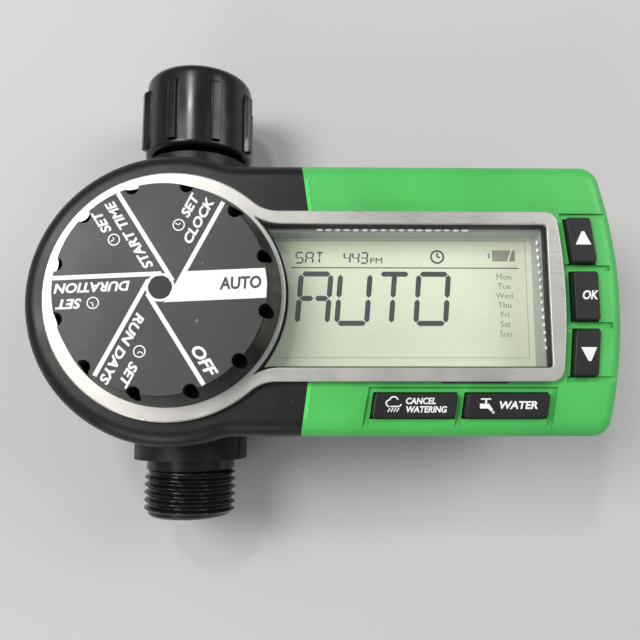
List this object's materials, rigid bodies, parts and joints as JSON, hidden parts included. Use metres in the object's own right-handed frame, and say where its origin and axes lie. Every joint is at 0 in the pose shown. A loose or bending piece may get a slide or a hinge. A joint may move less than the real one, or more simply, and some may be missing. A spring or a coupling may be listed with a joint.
{
  "type": "irrigation controller",
  "caption": "Hose-end irrigation controller: round dial housing with swivel inlet nut and threaded outlet, and a flat head with a display and press keys.",
  "frame": {"origin": "on the flat back, where the dial's axis crosses the hose's axis seen from the front", "axes": "+Z out of the face along the dial's axis, +Y along the hose towards the tap, +X towards the display end"},
  "size_m": [0.1577, 0.1357, 0.07],
  "materials": {
    "black_shell": "fine moulded texture, satin",
    "green_shell": "fine moulded texture, satin",
    "silver_trim": "pewter lacquer, worn",
    "clear_plastic": "clear",
    "lcd_glass": "grey-green reflective display",
    "rubber": "soft, matte",
    "board": "green solder mask",
    "component": "epoxy",
    "steel": "zinc plated",
    "copper": "enamelled copper winding",
    "label": "printed label",
    "key": "satin",
    "white_plastic": "moulded",
    "screen": "woven wire",
    "cell": "printed sleeve"
  },
  "bodies": {
    "casing": {"dial_housing": "black_shell", "rear_housing": "black_shell", "outlet_fitting": "black_shell", "valve_body": "black_shell", "display_housing": "green_shell", "bezel": "silver_trim", "display_lens": "clear_plastic", "lcd_frame": "clear_plastic", "lcd_panel": "lcd_glass", "case_gasket": "rubber", "lcd_connectors": "rubber", "outlet_seal": "rubber", "inlet_washer": "rubber", "valve_diaphragm": "rubber", "shaft_seal": "rubber", "solenoid_leads": "rubber", "battery_leads": "rubber", "circuit_board": "board", "microcontroller": "component", "tact_switches": "component", "storage_capacitor": "component", "case_screws": "steel", "board_screws": "steel", "bonnet_screws": "steel", "timing_crystal": "steel", "diaphragm_spring": "steel", "core_tube": "steel", "core_stop": "steel", "solenoid_yoke": "steel", "plunger_spring": "steel", "battery_springs": "steel", "battery_contacts": "steel", "detent_spring": "steel", "solenoid_coil": "copper", "valve_bonnet": "white_plastic", "battery_bay": "white_plastic", "filter_screen": "screen", "battery_cell_a": "cell", "battery_cell_b": "cell"},
    "dial": {"dial_knob": "black_shell", "dial_label": "label", "dial_shaft": "white_plastic", "detent_wheel": "white_plastic", "contact_wiper": "steel", "retaining_clip": "steel"},
    "inlet_nut": {"swivel_nut": "black_shell"},
    "up_key": {"key_up": "key"},
    "ok_key": {"key_ok": "key"},
    "down_key": {"key_down": "key"},
    "cancel_key": {"key_cancel": "key"},
    "water_key": {"key_water": "key"},
    "back_door": {"battery_door": "black_shell", "door_gasket": "rubber"},
    "pilot_plunger": {"plunger": "steel", "plunger_tip": "rubber"}
  },
  "joints": [
    {"name": "dial_turn", "type": "hinge", "parent": "casing", "child": "dial", "pos_m": [0, 0, 0.05], "axis": [0, 0, 1], "continuous": true},
    {"name": "inlet_nut_turn", "type": "hinge", "parent": "casing", "child": "inlet_nut", "pos_m": [0, 0.06, 0.023], "axis": [0, 1, 0], "continuous": true},
    {"name": "up_key_press", "type": "slide", "parent": "casing", "child": "up_key", "axis": [0, 0, -1], "range_m": [0, 0.001], "stiffness_N_per_m": 600, "springref_m": -0.0005},
    {"name": "ok_key_press", "type": "slide", "parent": "casing", "child": "ok_key", "axis": [0, 0, -1], "range_m": [0, 0.001], "stiffness_N_per_m": 600, "springref_m": -0.0005},
    {"name": "down_key_press", "type": "slide", "parent": "casing", "child": "down_key", "axis": [0, 0, -1], "range_m": [0, 0.001], "stiffness_N_per_m": 600, "springref_m": -0.0005},
    {"name": "cancel_key_press", "type": "slide", "parent": "casing", "child": "cancel_key", "axis": [0, 0, -1], "range_m": [0, 0.001], "stiffness_N_per_m": 600, "springref_m": -0.0005},
    {"name": "water_key_press", "type": "slide", "parent": "casing", "child": "water_key", "axis": [0, 0, -1], "range_m": [0, 0.001], "stiffness_N_per_m": 600, "springref_m": -0.0005},
    {"name": "battery_door_slide", "type": "slide", "parent": "casing", "child": "back_door", "axis": [1, 0, 0], "range_m": [0, 0.06]},
    {"name": "plunger_slide", "type": "slide", "parent": "casing", "child": "pilot_plunger", "axis": [1, 0, 0], "range_m": [0, 0.0015], "stiffness_N_per_m": 300, "springref_m": -0.001, "deforming": ["plunger_spring"]}
  ]
}
